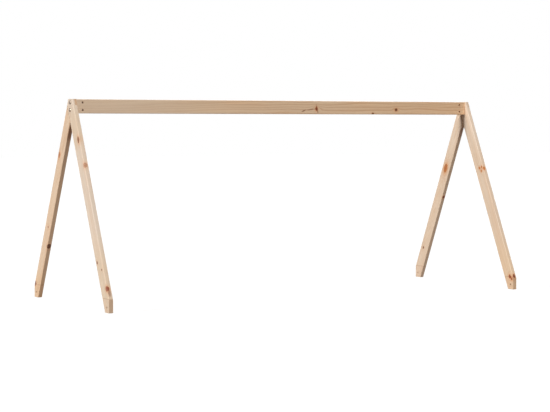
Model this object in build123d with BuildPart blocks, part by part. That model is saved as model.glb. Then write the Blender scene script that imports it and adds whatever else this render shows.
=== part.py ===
from build123d import *
import math
import os

# Roof frame for a loft bed: two A-shaped end frames of planed pine, joined by one ridge beam.
# Millimetres. +X runs along the ridge to the right, +Y to the rear and +Z up.
# The origin is on the floor, below the middle of the ridge.

# Overall size
frame_length = 2060  # over the outer faces of the two end frames
frame_width = 790  # over the upright cuts of the front and rear feet
frame_height = 870  # from the floor to the flat top of the end frames

# Legs
leg_width = 59
leg_thickness = 19
top_flat_width = 41  # level cut on top of each end frame
foot_cut_height = 55  # upright cut on the outer side of each foot
foot_hole_diameter = 7
foot_hole_inset = 20  # in from the upright cut
foot_hole_height = 22

# Line scored across both broad faces, just above the upright cut
foot_line_height = foot_cut_height + 1.5
foot_line_width = 0.8
foot_line_depth = 0.4

# Ridge beam
ridge_height = 60
ridge_thickness = 36
ridge_drop = 1  # its top lies this far below the top of the end frames

# Planed long edges and sawn ends
board_edge_radius = 2.5
sawn_edge_chamfer = 0.6

# Connector bolts: low domed head, socket drive
bolt_spacing = 32  # upper to lower bolt
bolt_diameter = 6
bolt_length = 60  # below the head
bolt_head_diameter = 17
bolt_head_height = 4
bolt_head_rim_height = 0.8
bolt_socket_width = 5  # across its flats
bolt_socket_depth = 2.5
bolt_tip_chamfer = 0.8
bolt_hole_diameter = 7
bolt_hole_spare_depth = 4  # past the tip of the bolt

# Barrel nuts
nut_diameter = 8.8
nut_length = 18
nut_inset = 31  # from the end of the ridge to the nut's own axis
nut_rim_chamfer = 0.5
nut_slot_width = 1.4
nut_slot_depth = 1.4
nut_hole_diameter = 9

# Worked out from the sizes above
end_frame_middle = (frame_length - leg_thickness) / 2  # X of an end frame's middle plane
ridge_length = frame_length - 2 * leg_thickness
ridge_middle_height = frame_height - ridge_drop - ridge_height / 2
bolt_heights = {
    "upper": ridge_middle_height + bolt_spacing / 2,
    "lower": ridge_middle_height - bolt_spacing / 2,
}
lean_slope = (frame_width - top_flat_width) / 2 / (frame_height - foot_cut_height)
leg_level_width = leg_width / math.cos(math.atan(lean_slope))
nut_hole_depth = (ridge_thickness + nut_length) / 2


def outer_edge(height):
    """Distance from the frame's centre line to a leg's outer edge at this height."""
    return top_flat_width / 2 + lean_slope * (frame_height - height)


def inner_edge(height):
    """The same for the leg's inner edge. It is negative past the centre line."""
    return outer_edge(height) - leg_level_width


# Heights where a leg's inner edge meets the centre line, and the other leg's outer edge
crotch_height = frame_height - (leg_level_width - top_flat_width / 2) / lean_slope
shoulder_height = frame_height - (leg_level_width - top_flat_width) / (2 * lean_slope)
shoulder_reach = outer_edge(shoulder_height)

saw_allowance = 40  # extra board beyond each end cut
board_outline = [
    (inner_edge(-saw_allowance), -saw_allowance),
    (outer_edge(-saw_allowance), -saw_allowance),
    (outer_edge(frame_height + saw_allowance), frame_height + saw_allowance),
    (inner_edge(frame_height + saw_allowance), frame_height + saw_allowance),
]
sawn_outline = [
    (-outer_edge(0), 0),
    (frame_width / 2, 0),
    (frame_width / 2, frame_height),
    (-top_flat_width / 2, frame_height),
]
lap_outline = [
    (0, crotch_height),
    (shoulder_reach, shoulder_height),
    (top_flat_width / 2, frame_height),
    (-top_flat_width / 2, frame_height),
    (-shoulder_reach, shoulder_height),
]


def make_sawn_block(leg_plane):
    """The space that a leg is sawn to: floor, upright cut, flat top and the other leg's outer edge."""
    with BuildPart() as block:
        with BuildSketch(leg_plane):
            with BuildLine():
                Polyline(*sawn_outline, close=True)
            make_face()
        extrude(amount=leg_thickness / 2, both=True)
        chamfer(block.edges(), sawn_edge_chamfer)
    return block.part


def make_leg(leg_plane):
    """One leg. On its plane, local x runs outwards, local y up and local z to its own lap's face."""
    grain = leg_plane.x_dir * lean_slope - leg_plane.y_dir
    sawn_block = make_sawn_block(leg_plane)
    with BuildPart() as leg:
        # Planed board with eased long edges
        with BuildSketch(leg_plane):
            with BuildLine():
                Polyline(*board_outline, close=True)
            make_face()
        extrude(amount=leg_thickness / 2, both=True)
        fillet(leg.edges().filter_by(Axis((0, 0, 0), grain)), board_edge_radius)

        add(sawn_block, mode=Mode.INTERSECT)

        # Half the thickness is cut away where the other leg's lap lies
        with BuildSketch(leg_plane):
            with BuildLine():
                Polyline(*lap_outline, close=True)
            make_face()
        extrude(amount=-leg_thickness, mode=Mode.SUBTRACT)

        # Holes for the two bolts into the ridge, and for the screw into the bed
        with BuildSketch(leg_plane):
            with Locations(*[(0, height) for height in bolt_heights.values()]):
                Circle(bolt_hole_diameter / 2)
            with Locations((frame_width / 2 - foot_hole_inset, foot_hole_height)):
                Circle(foot_hole_diameter / 2)
        extrude(amount=leg_thickness, both=True, mode=Mode.SUBTRACT)

        # Scored lines
        for side in (1, -1):
            with BuildSketch(leg_plane.offset(side * leg_thickness / 2)):
                with Locations((inner_edge(foot_line_height), foot_line_height)):
                    Rectangle(4 * leg_level_width, foot_line_width)
            extrude(amount=-side * foot_line_depth, mode=Mode.SUBTRACT)
    return leg.part


def make_ridge():
    """The beam between the end frames, bored at both ends for the bolts and their barrel nuts."""
    with BuildPart() as ridge:
        with BuildSketch(Plane.YZ.offset(-ridge_length / 2)):
            with Locations((0, ridge_middle_height)):
                RectangleRounded(ridge_thickness, ridge_height, board_edge_radius)
        extrude(amount=ridge_length)
        end_faces = ridge.faces().filter_by(Axis.X)
        chamfer(end_faces.edges(), sawn_edge_chamfer)

        bore_depth = bolt_length - leg_thickness + bolt_hole_spare_depth
        for side in (1, -1):
            with BuildSketch(Plane.YZ.offset(side * ridge_length / 2)):
                with Locations(*[(0, height) for height in bolt_heights.values()]):
                    Circle(bolt_hole_diameter / 2)
            extrude(amount=-side * bore_depth, mode=Mode.SUBTRACT)

        # Blind holes from the front face
        nut_places = [
            (side * (ridge_length / 2 - nut_inset), height)
            for side in (1, -1)
            for height in bolt_heights.values()
        ]
        with BuildSketch(Plane.XZ.offset(ridge_thickness / 2)):
            with Locations(*nut_places):
                Circle(nut_hole_diameter / 2)
        extrude(amount=-nut_hole_depth, mode=Mode.SUBTRACT)
    return ridge.part


def make_bolt(seat_plane):
    """Connector bolt. The plane is the seat of its head, facing out of the end frame."""
    outwards = Axis(seat_plane.origin, seat_plane.z_dir)
    head_radius = bolt_head_diameter / 2
    dome_height = bolt_head_height - bolt_head_rim_height
    dome_radius = (head_radius**2 + dome_height**2) / (2 * dome_height)
    dome_top = (0, bolt_head_height)
    dome_foot = (head_radius, bolt_head_rim_height)
    # Half section of the head: local x is the radius and local y points out of the end frame
    radial = seat_plane.x_dir
    section_plane = Plane(seat_plane.origin, x_dir=radial, z_dir=radial.cross(seat_plane.z_dir))
    with BuildPart() as bolt:
        with BuildSketch(section_plane):
            with BuildLine():
                Polyline(dome_top, (0, 0), (head_radius, 0), dome_foot)
                RadiusArc(dome_top, dome_foot, dome_radius)
            make_face()
        revolve(axis=outwards)
        with BuildSketch(seat_plane):
            Circle(bolt_diameter / 2)
        extrude(amount=-bolt_length)
        chamfer(bolt.faces().sort_by(outwards).first.edges(), bolt_tip_chamfer)
        with BuildSketch(seat_plane.offset(bolt_head_height)):
            RegularPolygon(bolt_socket_width / 2, 6, major_radius=False)
        extrude(amount=-bolt_socket_depth, mode=Mode.SUBTRACT)
    return bolt.part


def make_barrel_nut(centre):
    """Cross dowel, with its thread bore along the ridge and a driver slot that shows the bore's way."""
    across_ridge = Plane(centre, x_dir=(1, 0, 0), z_dir=(0, -1, 0))
    along_ridge = Plane(centre, x_dir=(0, 1, 0), z_dir=(1, 0, 0))
    with BuildPart() as nut:
        with BuildSketch(across_ridge):
            Circle(nut_diameter / 2)
        extrude(amount=nut_length / 2, both=True)
        chamfer(nut.edges().filter_by(GeomType.CIRCLE), nut_rim_chamfer)
        with BuildSketch(along_ridge):
            Circle(bolt_diameter / 2)
        extrude(amount=nut_diameter, both=True, mode=Mode.SUBTRACT)
        with BuildSketch(across_ridge.offset(nut_length / 2)):
            Rectangle(2 * nut_diameter, nut_slot_width)
        extrude(amount=-nut_slot_depth, mode=Mode.SUBTRACT)
    return nut.part


pieces = {}

# Each end frame is two equal legs. One is the other turned half round about the upright axis,
# so the front leg's lap lies on the left and the rear leg's on the right.
ends = {"left": -1, "right": 1}
for end, side in ends.items():
    middle = (side * end_frame_middle, 0, 0)
    pieces[f"{end}_front_leg"] = make_leg(Plane(middle, x_dir=(0, -1, 0), z_dir=(-1, 0, 0)))
    pieces[f"{end}_rear_leg"] = make_leg(Plane(middle, x_dir=(0, 1, 0), z_dir=(1, 0, 0)))

pieces["ridge_beam"] = make_ridge()

for end, side in ends.items():
    for level, height in bolt_heights.items():
        seat = Plane((side * frame_length / 2, 0, height), x_dir=(0, 1, 0), z_dir=(side, 0, 0))
        pieces[f"{end}_{level}_bolt"] = make_bolt(seat)
        nut_centre = (side * (ridge_length / 2 - nut_inset), 0, height)
        pieces[f"{end}_{level}_barrel_nut"] = make_barrel_nut(nut_centre)

os.makedirs("parts", exist_ok=True)
for name, piece in pieces.items():
    piece.label = name
    export_step(piece, f"parts/{name}.step")
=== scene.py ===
import math
from typing import NamedTuple

import bpy
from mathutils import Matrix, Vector


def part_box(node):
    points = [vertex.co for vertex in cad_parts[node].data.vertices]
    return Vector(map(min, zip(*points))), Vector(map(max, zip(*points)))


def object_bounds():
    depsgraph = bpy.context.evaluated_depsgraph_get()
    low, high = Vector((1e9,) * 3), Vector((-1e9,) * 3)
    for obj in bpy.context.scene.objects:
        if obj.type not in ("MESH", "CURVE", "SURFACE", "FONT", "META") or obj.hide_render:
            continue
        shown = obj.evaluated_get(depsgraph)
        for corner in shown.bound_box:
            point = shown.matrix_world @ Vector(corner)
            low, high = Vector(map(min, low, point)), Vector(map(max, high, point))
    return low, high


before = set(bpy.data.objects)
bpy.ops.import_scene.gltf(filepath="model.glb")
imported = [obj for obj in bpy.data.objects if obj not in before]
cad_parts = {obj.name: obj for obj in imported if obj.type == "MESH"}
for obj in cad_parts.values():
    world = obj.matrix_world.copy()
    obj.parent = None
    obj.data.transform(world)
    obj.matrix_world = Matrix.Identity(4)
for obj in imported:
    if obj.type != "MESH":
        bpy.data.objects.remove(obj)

# Looks of a pine A-frame roof for a loft bed: solid pine boards, connector bolts and barrel nuts.
# Lengths are metres, apart from those inside a board, which are millimetres and say so.
cad_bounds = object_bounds()
METRE_IN_MM = 1000

# Sizes of the end frames that the legs' grain follows
top_flat_width = 0.041
foot_cut_height = 0.055
foot_line_height = 0.0565
foot_line_smear = 2.6  # millimetres up and down from the line
# painted shade of the scored groove across the foot, spread over a band around it
foot_line_shade_tint = (0.80, 0.74, 0.70, 1)
below_line_tint = (0.985, 0.96, 0.955, 1)
leg_thickness = 0.019

# Camera: level, with the picture's window shifted down
camera_place = (-3.9471, -6.8036, 0.7619)
camera_heading = math.radians(29.93)  # from +Y towards +X
picture_width = 550  # pixels, as are the next three
camera_focal_length = 1738.8
horizon_row = 124.5
middle_row = 206

# Light, as the share of a white surface's brightness that each source gives when it faces it
sky_light = 0.030
sky_colour = (1.5, 1.0, 0.6, 1)
key_light = 0.87
key_direction = (0.943, 0.0, -0.332)  # along the ridge
key_spread = math.radians(9)
front_light = 0.70
front_direction = (0.0, 0.75, -0.66)
front_spread = math.radians(34)
back_light = 0.60
back_direction = (-0.62, -0.68, -0.40)
back_spread = math.radians(60)

floor_size = 60
floor_bounce_colour = (0.16, 0.10, 0.06, 1)
floor_seen_glow = 0.80
floor_seen_colour = (0.25, 0.25, 0.25, 1)


def srgb(red, green, blue):
    """A colour of the screen, 0 to 255, as the linear colour that a shader takes."""
    def linear(value):
        value /= 255
        return value / 12.92 if value <= 0.04045 else ((value + 0.055) / 1.055) ** 2.4
    return (linear(red), linear(green), linear(blue), 1)


class Graph:
    """Adds nodes to a shader tree. A value given to a node is a number, a tuple or another node's output."""

    def __init__(self, tree):
        self.tree = tree

    def feed(self, socket, value):
        if isinstance(value, bpy.types.NodeSocket):
            self.tree.links.new(value, socket)
        else:
            socket.default_value = value

    def node(self, kind, values=(), **settings):
        """A new node. Values is a list for its first inputs, or a dict by the inputs' names."""
        made = self.tree.nodes.new(kind)
        for name, setting in settings.items():
            setattr(made, name, setting)
        keys = values if isinstance(values, dict) else range(len(values))
        for key in keys:
            self.feed(made.inputs[key], values[key])
        return made

    def group(self, tree, values):
        made = self.tree.nodes.new("ShaderNodeGroup")
        made.node_tree = tree
        for name, value in values.items():
            self.feed(made.inputs[name], value)
        return made.outputs

    def math(self, operation, *values):
        return self.node("ShaderNodeMath", values, operation=operation).outputs[0]

    def vector(self, operation, *values):
        made = self.node("ShaderNodeVectorMath", values, operation=operation)
        return made.outputs[1 if operation in ("DOT_PRODUCT", "LENGTH") else 0]

    def scaled(self, vector, factor):
        values = {"Vector": vector, "Scale": factor}
        return self.node("ShaderNodeVectorMath", values, operation="SCALE").outputs[0]

    def combine(self, x, y, z):
        return self.node("ShaderNodeCombineXYZ", (x, y, z)).outputs[0]

    def separate(self, vector):
        return list(self.node("ShaderNodeSeparateXYZ", (vector,)).outputs)

    def noise(self, place, grain_size, detail=2, roughness=0.5, seed=0.0):
        """Noise around 0, from about -0.5 to 0.5, with features of that size along, across and through."""
        stretched = self.vector("DIVIDE", place, grain_size)
        moved = self.vector("ADD", stretched, (seed, 1.7 * seed, 2.3 * seed))
        values = {"Vector": moved, "Scale": 1, "Detail": detail, "Roughness": roughness}
        return self.math("SUBTRACT", self.node("ShaderNodeTexNoise", values).outputs[0], 0.5)

    def step(self, value, start, end, low=0.0, high=1.0):
        """Turns smoothly from low to high while the value goes from start to end."""
        values = (value, start, end, low, high)
        return self.node("ShaderNodeMapRange", values, interpolation_type="SMOOTHSTEP").outputs[0]

    def mix(self, share, first, second, blend="MIX"):
        made = self.node("ShaderNodeMix", data_type="RGBA", blend_type=blend)
        for index, value in ((0, share), (6, first), (7, second)):
            self.feed(made.inputs[index], value)
        return made.outputs[2]

    def tint(self, colour, strength, amount):
        """The colour made lighter or darker by strength times amount."""
        factor = self.math("MULTIPLY_ADD", strength, amount, 1.0)
        return self.scaled(colour, factor)

    def stained(self, colour, share, tint):
        """The colour, multiplied by that tint where the share is 1."""
        return self.mix(share, colour, self.mix(1.0, colour, tint, "MULTIPLY"))


def new_group(name, inputs, outputs):
    """A node group, with its graph, the values that come in and the sockets that go out."""
    tree = bpy.data.node_groups.new(name, "ShaderNodeTree")
    for in_out, sockets in (("INPUT", inputs), ("OUTPUT", outputs)):
        for socket_name, kind in sockets.items():
            tree.interface.new_socket(socket_name, in_out=in_out, socket_type="NodeSocket" + kind)
    graph = Graph(tree)
    return tree, graph, graph.node("NodeGroupInput").outputs, graph.node("NodeGroupOutput").inputs


class Board(NamedTuple):
    """Where a board lies. Its own axes run along its grain, across its width and through its thickness."""
    origin: Vector
    along: Vector
    across: Vector
    through: Vector


class Knot(NamedTuple):
    """A branch through a board. Millimetres along, across and through it."""
    along: float
    across: float
    radius: float
    through: float = 9.5
    towards: tuple = (0.08, 0.0, 1.0)
    reach: float = 48.0  # from the place back to the branch's tip
    stretch: float = 1.25
    darkness: float = 0.5  # of its centre and rim
    halo: float = 0.6
    core: tuple = srgb(178, 104, 58)


class Streak(NamedTuple):
    """A dark mark that lies in the grain: resin or bark on the ridge and front legs, painted shade on the
    rear legs' inner edges near the apex. Millimetres.
    """
    along: float
    across: float
    length: float
    width: float
    through: float = 9.5
    depth: float = 6.0
    tilt: float = 0.0  # degrees, from along towards across
    darkness: float = 0.6


class Tone(NamedTuple):
    """A long patch where a board's colour shifts softly. Millimetres along it."""
    along: float
    reach: float
    tint: tuple


class Grain(NamedTuple):
    """How a board was cut from its tree, in millimetres, and its colours."""
    pith_across: float
    pith_through: float
    ring_width: float
    seed: float
    early: tuple
    late: tuple
    heart: tuple  # tint of the heartwood
    heart_radius: float
    ring_strength: float = 0.6
    waviness: float = 9.0
    faint_until: float = -1000.0  # millimetres along it, up to where the rings are faint
    tones: tuple = ()


def leg_board(end, outwards):
    """The board of a leg at this end (-1 left, 1 right), that leans outwards (-1 front, 1 rear)."""
    low, high = cad_bounds
    lean = math.atan((high.y - top_flat_width / 2) / (high.z - foot_cut_height))
    end_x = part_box("ridge_beam")[1].x + leg_thickness / 2
    return Board(
        Vector((end * end_x, outwards * top_flat_width / 2, high.z)),
        Vector((0, outwards * math.sin(lean), -math.cos(lean))),
        Vector((0, -outwards * math.cos(lean), -math.sin(lean))),
        Vector((-1, 0, 0)),
    )


def ridge_board():
    low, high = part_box("ridge_beam")
    return Board(
        Vector((low.x, 0, high.z)), Vector((1, 0, 0)), Vector((0, 0, -1)), Vector((0, -1, 0))
    )


def make_rings_group():
    """Yearly rings round a pith that wanders, as the share of dark late wood."""
    tree, graph, given, out = new_group(
        "yearly_rings",
        {"Place": "Vector", "Pith across": "Float", "Pith through": "Float",
         "Ring width": "Float", "Waviness": "Float", "Lift": "Float", "Seed": "Float"},
        {"Late wood": "Float", "Pith distance": "Float"},
    )
    taper = 0.012
    along, across, through = graph.separate(given["Place"])
    wander_place = graph.combine(along, graph.math("MULTIPLY", given["Seed"], 900.0), 0.0)
    wander_across = graph.noise(wander_place, (520, 300, 300), detail=1)
    wander_through = graph.noise(wander_place, (430, 300, 300), detail=1, seed=4.1)
    pith_across = graph.math("MULTIPLY_ADD", wander_across, 26.0, given["Pith across"])
    pith_through = graph.math("MULTIPLY_ADD", wander_through, 20.0, given["Pith through"])
    from_pith = graph.combine(
        0.0,
        graph.math("SUBTRACT", across, pith_across),
        graph.math("SUBTRACT", through, pith_through),
    )
    distance = graph.vector("LENGTH", from_pith)
    seeded = graph.vector("ADD", given["Place"], graph.scaled((700.0, 90.0, 90.0), given["Seed"]))
    waves = graph.noise(seeded, (330, 46, 46), detail=1)
    ripples = graph.noise(seeded, (75, 13, 13), detail=2)
    grown = graph.math("MULTIPLY_ADD", along, taper, distance)
    grown = graph.math("MULTIPLY_ADD", waves, given["Waviness"], grown)
    grown = graph.math("MULTIPLY_ADD", ripples, 1.5, grown)
    grown = graph.math("ADD", grown, given["Lift"])
    age = graph.math("DIVIDE", grown, given["Ring width"])
    years = graph.noise(graph.combine(age, given["Seed"], 0.0), (2.6, 1, 1), detail=1)
    age = graph.math("MULTIPLY_ADD", years, 1.6, age)
    share = graph.math("FRACT", age)
    rise = graph.math("POWER", share, 2.4)
    fall = graph.step(share, 0.90, 1.0, 1.0, 0.0)
    year = graph.math("FLOOR", age)
    year_noise = graph.node("ShaderNodeTexWhiteNoise", {"W": year}, noise_dimensions="1D")
    strength = graph.math("MULTIPLY_ADD", year_noise.outputs[0], 0.5, 0.6)
    late = graph.math("MULTIPLY", graph.math("MULTIPLY", rise, fall), strength)
    graph.feed(out["Late wood"], late)
    graph.feed(out["Pith distance"], grown)
    return tree


def make_knot_group():
    """The form of one knot: a cone that points back to the pith, and how the grain flows round it."""
    tree, graph, given, out = new_group(
        "knot_form",
        {"Place": "Vector", "Centre": "Vector", "Towards": "Vector", "Radius": "Float",
         "Reach": "Float", "Stretch": "Float", "Seed": "Float"},
        {"Ratio": "Float", "Flow": "Vector", "Lift": "Float", "Crack": "Float"},
    )
    offset = graph.vector("SUBTRACT", given["Place"], given["Centre"])
    depth = graph.vector("DOT_PRODUCT", offset, given["Towards"])
    lateral = graph.vector("SUBTRACT", offset, graph.scaled(given["Towards"], depth))
    along, across, through = graph.separate(lateral)
    opening = graph.math("ADD", graph.math("DIVIDE", depth, given["Reach"]), 1.0)
    size = graph.math("MULTIPLY", graph.math("MAXIMUM", opening, 0.03), given["Radius"])
    drawn = graph.combine(graph.math("DIVIDE", along, given["Stretch"]), across, through)
    wobble = graph.noise(given["Place"], (8, 6, 6), detail=2)
    ratio = graph.math("DIVIDE", graph.vector("LENGTH", drawn), size)
    ratio = graph.math("MULTIPLY_ADD", wobble, 0.35, ratio)

    flow_length = 2.0
    streamline = graph.combine(graph.math("DIVIDE", along, flow_length), across, through)
    spread = graph.math("DIVIDE", graph.vector("LENGTH", streamline), size)
    push = graph.math("DIVIDE", -0.92, graph.math("POWER", graph.math("MAXIMUM", spread, 1.0), 2.2))
    flow = graph.scaled(graph.combine(0.0, across, through), push)
    fading = graph.math("EXPONENT", graph.math("MULTIPLY", graph.math("MULTIPLY", spread, spread), -0.33))
    lift = graph.math("MULTIPLY", graph.math("MULTIPLY", fading, size), 1.3)

    direction = graph.vector("NORMALIZE", drawn)
    turned = graph.vector("ADD", direction, graph.scaled((3.0, 5.0, 7.0), given["Seed"]))
    rays = graph.math("ABSOLUTE", graph.noise(turned, (0.45, 0.45, 0.45), detail=0))
    crack_width = graph.math("MULTIPLY_ADD", ratio, -0.035, 0.035)
    crack = graph.math("LESS_THAN", rays, crack_width)

    graph.feed(out["Ratio"], ratio)
    graph.feed(out["Flow"], flow)
    graph.feed(out["Lift"], lift)
    graph.feed(out["Crack"], crack)
    return tree


def make_knot_paint_group():
    """Colours one knot over the wood: a stained surround, a ringed core, and a dark rim and cracks."""
    tree, graph, given, out = new_group(
        "knot_paint",
        {"Colour": "Color", "Core colour": "Color", "Ratio": "Float", "Crack": "Float",
         "Darkness": "Float", "Halo": "Float"},
        {"Colour": "Color", "Core": "Float"},
    )
    stain_tint = (0.93, 0.63, 0.42, 1)
    dark_core = srgb(102, 60, 26)
    bark = srgb(70, 38, 22)
    ratio = given["Ratio"]
    core = graph.step(ratio, 0.92, 1.04, 1.0, 0.0)
    beyond = graph.math("MAXIMUM", graph.math("SUBTRACT", ratio, 1.0), 0.0)
    fading = graph.math("EXPONENT", graph.math("MULTIPLY", beyond, -1.5))
    stain = graph.math("MULTIPLY", fading, given["Halo"])
    surround = graph.stained(given["Colour"], stain, stain_tint)

    ring = graph.math("SINE", graph.math("MULTIPLY", ratio, 34.0))
    heart = graph.mix(given["Darkness"], given["Core colour"], dark_core)
    heart = graph.tint(heart, ring, 0.12)
    centre = graph.math("MULTIPLY", graph.step(ratio, 0.05, 0.42, 1.0, 0.0), given["Darkness"])
    heart = graph.mix(centre, heart, dark_core)
    rim = graph.math("MULTIPLY", graph.step(ratio, 0.78, 0.93), graph.step(ratio, 0.98, 1.10, 1.0, 0.0))
    rim = graph.math("MULTIPLY", rim, graph.math("MULTIPLY_ADD", given["Darkness"], 0.85, 0.03))
    painted = graph.mix(core, surround, heart)
    painted = graph.mix(rim, painted, bark)
    crack = graph.math("MULTIPLY", graph.math("MULTIPLY", given["Crack"], core), 0.75)
    painted = graph.mix(crack, painted, bark)
    graph.feed(out["Colour"], painted)
    graph.feed(out["Core"], core)
    return tree


def make_streak_group():
    """How much of one dark streak, resin or painted shade, a place has, from 0 to 1."""
    tree, graph, given, out = new_group(
        "resin_and_shade_streak",
        {"Place": "Vector", "Centre": "Vector", "Half size": "Vector", "Tilt": "Float"},
        {"Streak": "Float"},
    )
    offset = graph.vector("SUBTRACT", given["Place"], given["Centre"])
    along, across, through = graph.separate(offset)
    cosine = graph.math("COSINE", given["Tilt"])
    sine = graph.math("SINE", given["Tilt"])
    lengthwise = graph.math("MULTIPLY_ADD", along, cosine, graph.math("MULTIPLY", across, sine))
    across_turned = graph.math("MULTIPLY", across, cosine)
    sideways = graph.math("SUBTRACT", across_turned, graph.math("MULTIPLY", along, sine))
    shaped = graph.vector("DIVIDE", graph.combine(lengthwise, sideways, through), given["Half size"])
    ragged = graph.noise(given["Place"], (9, 2.2, 2.2), detail=2)
    distance = graph.math("MULTIPLY_ADD", ragged, 0.9, graph.vector("LENGTH", shaped))
    graph.feed(out["Streak"], graph.step(distance, 0.35, 1.05, 1.0, 0.0))
    return tree


rings_group = make_rings_group()
knot_group = make_knot_group()
knot_paint_group = make_knot_paint_group()
streak_group = make_streak_group()


def board_place(graph, board):
    """The shaded point in the board's own axes, in millimetres."""
    point = graph.node("ShaderNodeTexCoord").outputs["Object"]
    offset = graph.vector("SUBTRACT", point, tuple(board.origin))
    axes = (board.along, board.across, board.through)
    parts = [graph.vector("DOT_PRODUCT", offset, tuple(axis * METRE_IN_MM)) for axis in axes]
    return graph.combine(*parts)


def end_grain_share(graph, board):
    """1 on a face square to the grain, 0 on a face along it."""
    normal = graph.node("ShaderNodeTexCoord").outputs["Normal"]
    facing = graph.math("ABSOLUTE", graph.vector("DOT_PRODUCT", normal, tuple(board.along)))
    return graph.step(facing, 0.05, 0.60)


def arris_share(graph, board):
    """1 on the rounded long edges of a board, 0 on its flat faces and sawn ends."""
    normal = graph.node("ShaderNodeTexCoord").outputs["Normal"]
    flatness = 0.0
    for axis in (board.along, board.across, board.through):
        facing = graph.math("ABSOLUTE", graph.vector("DOT_PRODUCT", normal, tuple(axis)))
        flatness = graph.math("MAXIMUM", flatness, facing)
    return graph.step(flatness, 0.74, 0.88, 1.0, 0.0)


def marked_foot(graph, colour):
    """A band of painted shade darkens the scored line across a leg's foot, and the wood below it is a little
    pinker.
    """
    point = graph.node("ShaderNodeTexCoord").outputs["Object"]
    height = graph.math("MULTIPLY", graph.separate(point)[2], METRE_IN_MM)
    line_height = foot_line_height * METRE_IN_MM
    below = graph.step(height, line_height - 1.5, line_height, 1.0, 0.0)
    colour = graph.stained(colour, below, below_line_tint)
    off_line = graph.math("ABSOLUTE", graph.math("SUBTRACT", height, line_height))
    # painted shade along the scored line
    line = graph.step(off_line, 0.5, foot_line_smear, 1.0, 0.0)
    return graph.stained(colour, line, foot_line_shade_tint)


def new_material(name):
    """A material with an empty shader tree, and the tree's graph."""
    material = bpy.data.materials.new(name)
    material.use_nodes = True
    material.node_tree.nodes.clear()
    return material, Graph(material.node_tree)


def knot_forms(graph, place, knots, seed):
    """How knots push the grain aside and lift the rings: the pushed place, the lift, each knot's form."""
    flowed, lift, forms = place, 0.0, []
    for index, knot in enumerate(knots):
        towards = Vector(knot.towards).normalized()
        form = graph.group(knot_group, {
            "Place": place, "Centre": (knot.along, knot.across, knot.through), "Towards": tuple(towards),
            "Radius": knot.radius, "Reach": knot.reach, "Stretch": knot.stretch, "Seed": seed + index,
        })
        flowed = graph.vector("ADD", flowed, form["Flow"])
        lift = graph.math("ADD", lift, form["Lift"])
        forms.append(form)
    return flowed, lift, forms


def late_wood(graph, place, rings, grain):
    """How much dark late wood shows, from 0 to 1. It fades towards the board's faint end."""
    fade_length = 350
    faintest = 0.35
    along = graph.separate(place)[0]
    fade_start = grain.faint_until - fade_length
    fade_end = grain.faint_until + fade_length
    clearness = graph.step(along, fade_start, fade_end, faintest, 1.0)
    late = graph.math("MULTIPLY", rings["Late wood"], grain.ring_strength)
    return graph.math("MULTIPLY", late, clearness)


def heart_share(graph, place, rings, grain):
    """1 in the heartwood, 0 in the sapwood, with a soft wandering border."""
    border_wander = 16.0
    border_half_width = 9
    wander = graph.noise(place, (300, 30, 30), seed=grain.seed)
    distance = graph.math("MULTIPLY_ADD", wander, border_wander, rings["Pith distance"])
    outside = grain.heart_radius + border_half_width
    inside = grain.heart_radius - border_half_width
    return graph.step(distance, outside, inside)


def clear_wood(graph, flowed, late, heart, grain):
    """The colour of wood without knots, and its fibres and resin ducts."""
    blush_tint = (1.0, 0.945, 0.90, 1)
    colour = graph.mix(late, grain.early, grain.late)
    colour = graph.stained(colour, heart, grain.heart)
    zones = graph.noise(flowed, (420, 44, 44), seed=grain.seed + 0.3)
    colour = graph.tint(colour, zones, 0.16)
    blush = graph.step(graph.noise(flowed, (260, 34, 34), seed=grain.seed + 8.2), -0.08, 0.30)
    colour = graph.stained(colour, blush, blush_tint)
    bands = graph.noise(flowed, (420, 5.5, 5.5), detail=3, seed=grain.seed + 2.1)
    colour = graph.tint(colour, bands, 0.12)
    fibres = graph.noise(flowed, (55, 0.75, 0.75), detail=3, roughness=0.6, seed=grain.seed + 5.7)
    colour = graph.tint(colour, fibres, 0.16)
    duct_place = graph.vector("DIVIDE", flowed, (13.0, 1.5, 1.5))
    ducts = graph.node("ShaderNodeTexVoronoi", {"Vector": duct_place, "Scale": 1, "Randomness": 1})
    duct = graph.step(ducts.outputs["Distance"], 0.10, 0.24, 1.0, 0.0)
    colour = graph.tint(colour, duct, -0.13)
    return colour, fibres, duct


def toned(graph, place, colour, tones):
    """Lays each long soft patch over the board's colour."""
    along = graph.separate(place)[0]
    for tone in tones:
        far = graph.math("ABSOLUTE", graph.math("SUBTRACT", along, tone.along))
        share = graph.step(far, 0.25 * tone.reach, tone.reach, 1.0, 0.0)
        colour = graph.stained(colour, share, tone.tint)
    return colour


def painted_knots(graph, colour, knots, forms):
    """Lays the knots over the wood. Gives the colour, and where their cores and cracks are."""
    cores, cracks = 0.0, 0.0
    for knot, form in zip(knots, forms):
        painted = graph.group(knot_paint_group, {
            "Colour": colour, "Ratio": form["Ratio"], "Crack": form["Crack"],
            "Darkness": knot.darkness, "Halo": knot.halo, "Core colour": knot.core,
        })
        colour = painted["Colour"]
        cores = graph.math("MAXIMUM", cores, painted["Core"])
        cracks = graph.math("MAXIMUM", cracks, graph.math("MULTIPLY", form["Crack"], painted["Core"]))
    return colour, cores, cracks


def resin_and_shade_marks(graph, place, colour, streaks):
    """Lays the dark streaks over the wood: resin marks, and painted shade on the rear legs' inner edges."""
    # resin brown, also used for the painted shade in the V under the apex
    resin_and_shade_colour = srgb(128, 64, 34)
    for streak in streaks:
        half_size = (streak.length / 2, streak.width / 2, streak.depth)
        mark = graph.group(streak_group, {
            "Place": place, "Centre": (streak.along, streak.across, streak.through),
            "Half size": half_size, "Tilt": math.radians(streak.tilt),
        })
        colour = graph.mix(graph.math("MULTIPLY", mark["Streak"], streak.darkness), colour, resin_and_shade_colour)
    return colour


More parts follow.
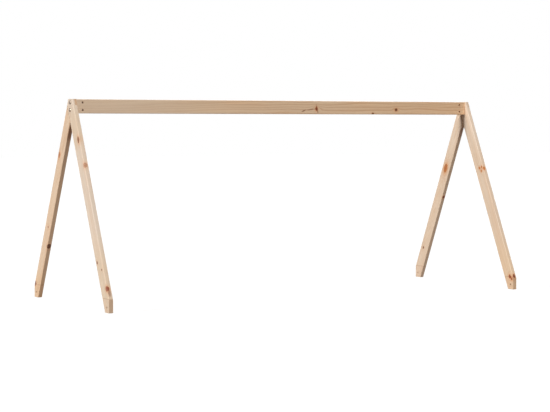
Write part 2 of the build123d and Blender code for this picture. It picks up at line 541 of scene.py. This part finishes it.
def wood_surface(graph, colour, late, fibres, duct, end_grain, cores, cracks):
    """Late wood and knots stand proud, ducts and cracks are open. Heights are millimetres."""
    height = graph.math("MULTIPLY", late, 0.035)
    height = graph.math("MULTIPLY_ADD", fibres, 0.06, height)
    height = graph.math("MULTIPLY_ADD", duct, -0.03, height)
    height = graph.math("MULTIPLY_ADD", cores, 0.06, height)
    height = graph.math("MULTIPLY_ADD", cracks, -0.25, height)
    normal = graph.node("ShaderNodeBump", {"Strength": 1.0, "Distance": 1 / METRE_IN_MM, "Height": height})
    roughness = graph.math("MULTIPLY_ADD", fibres, 0.20, 0.52)
    roughness = graph.math("MULTIPLY_ADD", late, -0.07, roughness)
    roughness = graph.math("MULTIPLY_ADD", end_grain, 0.20, roughness)
    roughness = graph.math("MULTIPLY_ADD", cores, -0.12, roughness)
    surface = graph.node("ShaderNodeBsdfPrincipled", {
        "Base Color": colour, "Roughness": roughness, "Normal": normal.outputs[0],
        "Metallic": 0.0, "IOR": 1.46, "Specular IOR Level": 0.42,
    })
    graph.node("ShaderNodeOutputMaterial", (surface.outputs[0],))


def pine_material(name, board, grain, knots, streaks=(), has_foot=True):
    """Solid pine, worked out in the board's own axes so that its faces, edges and sawn ends agree."""
    end_tint = (0.925, 0.845, 0.775, 1)  # sawn ends are a little darker and warmer
    # painted shade: the rounded long edges are darkened to hold back the highlight they catch from the lamps
    arris_painted_shade = -0.10
    material, graph = new_material(name)
    place = board_place(graph, board)
    end_grain = end_grain_share(graph, board)
    flowed, lift, forms = knot_forms(graph, place, knots, grain.seed)
    rings = graph.group(rings_group, {
        "Place": flowed, "Pith across": grain.pith_across, "Pith through": grain.pith_through,
        "Ring width": grain.ring_width, "Waviness": grain.waviness, "Lift": lift, "Seed": grain.seed,
    })
    late = late_wood(graph, place, rings, grain)
    heart = heart_share(graph, place, rings, grain)
    colour, fibres, duct = clear_wood(graph, flowed, late, heart, grain)
    colour = toned(graph, place, colour, grain.tones)
    colour = graph.stained(colour, end_grain, end_tint)
    # painted shade along the rounded long edges
    colour = graph.tint(colour, arris_share(graph, board), arris_painted_shade)
    colour, cores, cracks = painted_knots(graph, colour, knots, forms)
    colour = resin_and_shade_marks(graph, place, colour, streaks)
    if has_foot:
        colour = marked_foot(graph, colour)
    wood_surface(graph, colour, late, fibres, duct, end_grain, cores, cracks)
    return material


def metal_material(name, colour, dull_colour, roughness, scratch_depth):
    """Plated steel: mottled plating, fine scratches every way, duller where handled."""
    material, graph = new_material(name)
    point = graph.node("ShaderNodeTexCoord").outputs["Object"]
    place = graph.scaled(point, METRE_IN_MM)
    mottle = graph.noise(place, (3.2, 3.2, 3.2), detail=4, roughness=0.6)
    base = graph.mix(graph.step(mottle, -0.22, 0.25), colour, dull_colour)
    first_scratches = graph.noise(place, (0.12, 4.0, 0.5), detail=2, seed=1.0)
    second_scratches = graph.noise(place, (0.5, 0.14, 3.5), detail=2, seed=6.0)
    scratches = graph.math("ADD", first_scratches, second_scratches)
    base = graph.tint(base, scratches, 0.22)
    rough = graph.math("MULTIPLY_ADD", mottle, 0.25, roughness)
    height = graph.math("MULTIPLY", scratches, scratch_depth)
    normal = graph.node("ShaderNodeBump", {"Strength": 1.0, "Distance": 1 / METRE_IN_MM, "Height": height})
    surface = graph.node("ShaderNodeBsdfPrincipled", {
        "Base Color": base, "Metallic": 1.0, "Roughness": rough, "Normal": normal.outputs[0],
    })
    graph.node("ShaderNodeOutputMaterial", (surface.outputs[0],))
    return material


def paint(node, material):
    """Gives a CAD node that material in place of its plain one."""
    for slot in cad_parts[node].material_slots:
        slot.material = material


pale_early = srgb(225, 209, 191)
pale_late = srgb(206, 173, 138)
warm_early = srgb(226, 200, 172)
warm_late = srgb(204, 163, 122)
right_early = srgb(225, 204, 181)
right_late = srgb(206, 169, 130)
ridge_early = srgb(234, 207, 175)
ridge_late = srgb(196, 148, 104)
heart_tint = (0.985, 0.905, 0.82, 1)
inner_edge = 59
front = (0.10, 0.02, 1.0)
to_outer_edge = (0.12, -1.0, 0.25)
to_inner_edge = (0.12, 1.0, 0.2)
orange = srgb(208, 126, 60)
red_brown = srgb(166, 80, 42)
pink = srgb(214, 158, 122)
warm_tone = (0.99, 0.955, 0.88, 1)
pale_tone = (1.03, 1.07, 1.12, 1)

legs = {
    "left_front_leg": (
        leg_board(-1, -1),
        Grain(36, -46, 3.3, 1.3, pale_early, pale_late, heart_tint, 34,
              tones=(Tone(830, 260, warm_tone), Tone(120, 120, warm_tone))),
        [
            Knot(184, 11, 8.0, towards=front, stretch=1.7, darkness=0.68, halo=1.0, core=orange),
            Knot(304, 3, 7.5, through=2, towards=(0.12, -0.7, 0.7), reach=40,
                 darkness=0.22, halo=0.7, core=pink),
            Knot(720, 46, 5.5, towards=front, darkness=0.6, halo=0.5, core=red_brown),
            Knot(762, 16, 3.5, towards=front, darkness=0.5, halo=0.5, core=red_brown),
            Knot(849, 4, 9.0, through=7, towards=(0.1, -0.6, 0.7), reach=36, stretch=1.1,
                 darkness=0.25, halo=1.0, core=red_brown),
        ],
        [
            Streak(868, 0, 52, 9, through=2, depth=9, darkness=0.55),
        ],
    ),
    "left_rear_leg": (
        leg_board(-1, 1),
        Grain(38, -52, 3.6, 4.7, warm_early, warm_late, heart_tint, 40, tones=(Tone(920, 150, warm_tone),)),
        [
            Knot(257, 13, 7.5, towards=front, stretch=1.7, darkness=0.32, halo=1.0, core=orange),
            Knot(595, 31, 4.0, towards=front, darkness=0.35, halo=0.5, core=red_brown),
            Knot(675, inner_edge, 9.0, through=2, towards=to_inner_edge, reach=32,
                 darkness=0.9, halo=0.5),
            Knot(887, 8, 7.0, towards=front, stretch=1.6, darkness=0.5, halo=0.6, core=red_brown),
        ],
        [
            # painted shade: the dark shade in the V under the apex, painted onto the inner edge near the
            # crotch
            Streak(135, inner_edge, 84, 6, through=0, depth=22, darkness=0.5),
        ],
    ),
    "right_front_leg": (
        leg_board(1, -1),
        Grain(26, -40, 3.4, 7.9, right_early, right_late, heart_tint, 32,
              tones=(Tone(60, 260, pale_tone), Tone(860, 240, warm_tone))),
        [
            Knot(334, 27, 5.0, towards=front, stretch=1.2, darkness=0.15, halo=1.0, core=orange),
            Knot(352, 19, 4.5, towards=front, darkness=0.2, halo=1.0, core=orange),
            Knot(336, 9, 4.0, towards=front, darkness=0.2, halo=1.0, core=orange),
            Knot(347, -1, 6.5, through=4, towards=to_outer_edge, reach=26,
                 darkness=0.05, halo=1.0, core=orange),
            Knot(884, 21, 7.0, towards=front, stretch=1.4, darkness=0.3, halo=1.0, core=red_brown),
            Knot(899, 12, 5.0, towards=front, darkness=0.3, halo=1.0, core=red_brown),
            Knot(889, -1, 7.5, through=2, towards=to_outer_edge, reach=26,
                 darkness=0.45, halo=0.9, core=red_brown),
        ],
        [
            Streak(912, 0, 50, 5, through=12, depth=4, darkness=0.45),
        ],
    ),
    "right_rear_leg": (
        leg_board(1, 1),
        Grain(30, -50, 3.1, 11.4, right_early, right_late, heart_tint, 36,
              tones=(Tone(60, 240, pale_tone),)),
        [
            Knot(340, 27, 12.5, towards=front, stretch=1.8, darkness=0.24, halo=1.0, core=orange),
            Knot(483, inner_edge, 6.0, through=0, towards=to_inner_edge, reach=26,
                 darkness=0.35, halo=0.8,
                 core=red_brown),
            Knot(783, 21, 5.0, towards=front, darkness=0.7, halo=0.3),
        ],
        [
            # painted shade: the dark shade in the V under the apex, painted onto the inner edge near the
            # crotch
            Streak(130, inner_edge, 80, 6, through=0, depth=22, darkness=0.45),
        ],
    ),
}
ridge = (
    ridge_board(),
    Grain(-30, -22, 11.0, 2.6, ridge_early, ridge_late, heart_tint, 20, ring_strength=0.74, waviness=24.0,
          faint_until=650,
          tones=(Tone(0, 760, (1.0, 1.045, 1.12, 1)), Tone(1900, 800, (0.99, 0.945, 0.89, 1)))),
    [
        Knot(1626, 38.5, 6.0, through=18, towards=front, reach=70,
             darkness=0.85, halo=1.0, core=red_brown),
        Knot(1189, 36, 8.0, through=18, towards=(0.05, -0.2, 1.0), reach=60, stretch=0.7, darkness=0.35,
             halo=1.0, core=red_brown),
        Knot(1496, 58, 4.5, through=18, towards=(0.1, 0.7, 0.6), reach=40, darkness=0.6, halo=0.5),
    ],
    [
        Streak(1193, 38, 56, 8.5, through=18, tilt=76, darkness=0.65),
        Streak(1162, 38.5, 76, 6.0, through=18, tilt=-5, darkness=0.65),
        Streak(1121, 45, 34, 7.0, through=18, tilt=-20, darkness=0.8),
    ],
)

for node, (board, grain, knots, streaks) in legs.items():
    paint(node, pine_material(f"pine_{node}", board, grain, knots, streaks))
paint("ridge_beam", pine_material("pine_ridge_beam", *ridge, has_foot=False))

bolt_metal = metal_material("bolt_metal", (0.23, 0.175, 0.135, 1), (0.15, 0.115, 0.09, 1), 0.36, 0.006)
nut_metal = metal_material("nut_metal", (0.42, 0.41, 0.39, 1), (0.30, 0.29, 0.27, 1), 0.40, 0.010)
for end in ("left", "right"):
    for level in ("upper", "lower"):
        paint(f"{end}_{level}_bolt", bolt_metal)
        paint(f"{end}_{level}_barrel_nut", nut_metal)


def seen_directly(graph):
    """1 for what the camera sees straight or in a reflection, 0 for light that bounces."""
    path = graph.node("ShaderNodeLightPath").outputs
    straight = graph.math("MAXIMUM", path["Is Camera Ray"], path["Is Glossy Ray"])
    return graph.math("MAXIMUM", straight, path["Is Transmission Ray"])


def make_floor():
    """A plain floor at the feet. It looks white, keeps the object's shadow and bounces a mild warm light."""
    bpy.ops.mesh.primitive_plane_add(size=floor_size)
    floor = bpy.context.object
    floor.name = "floor"
    material, graph = new_material("floor")
    bounce = graph.node("ShaderNodeBsdfDiffuse", (floor_bounce_colour,)).outputs[0]
    shadowed = graph.node("ShaderNodeBsdfDiffuse", (floor_seen_colour,)).outputs[0]
    glow = graph.node("ShaderNodeEmission", ((1, 1, 1, 1), floor_seen_glow)).outputs[0]
    seen = graph.node("ShaderNodeAddShader", (shadowed, glow)).outputs[0]
    mixed = graph.node("ShaderNodeMixShader", (seen_directly(graph), bounce, seen)).outputs[0]
    graph.node("ShaderNodeOutputMaterial", (mixed,))
    floor.data.materials.append(material)


def make_sky():
    """White where it is seen, dimmer as a light."""
    world = bpy.data.worlds.new("studio")
    bpy.context.scene.world = world
    world.use_nodes = True
    world.node_tree.nodes.clear()
    graph = Graph(world.node_tree)
    seen = seen_directly(graph)
    strength = graph.step(seen, 0.0, 1.0, sky_light, 1.0)
    colour = graph.mix(seen, sky_colour, (1, 1, 1, 1))
    background = graph.node("ShaderNodeBackground", (colour, strength))
    graph.node("ShaderNodeOutputWorld", (background.outputs[0],))


def make_sun(name, share, direction, spread):
    """A soft light from far away, which shines in that direction."""
    data = bpy.data.lights.new(name, "SUN")
    data.energy = share * math.pi
    data.angle = spread
    lamp = bpy.data.objects.new(name, data)
    lamp.rotation_mode = "QUATERNION"
    lamp.rotation_quaternion = Vector(direction).to_track_quat("-Z", "Y")
    bpy.context.scene.collection.objects.link(lamp)


def make_camera():
    data = bpy.data.cameras.new("camera")
    data.lens = camera_focal_length / picture_width * data.sensor_width
    data.shift_y = (horizon_row - middle_row) / picture_width
    camera = bpy.data.objects.new("camera", data)
    camera.location = camera_place
    camera.rotation_euler = (math.pi / 2, 0, -camera_heading)
    bpy.context.scene.collection.objects.link(camera)
    bpy.context.scene.camera = camera


make_camera()
make_floor()
make_sky()
make_sun("key", key_light, key_direction, key_spread)
make_sun("front", front_light, front_direction, front_spread)
make_sun("back", back_light, back_direction, back_spread)
bpy.context.scene.view_settings.view_transform = "Standard"
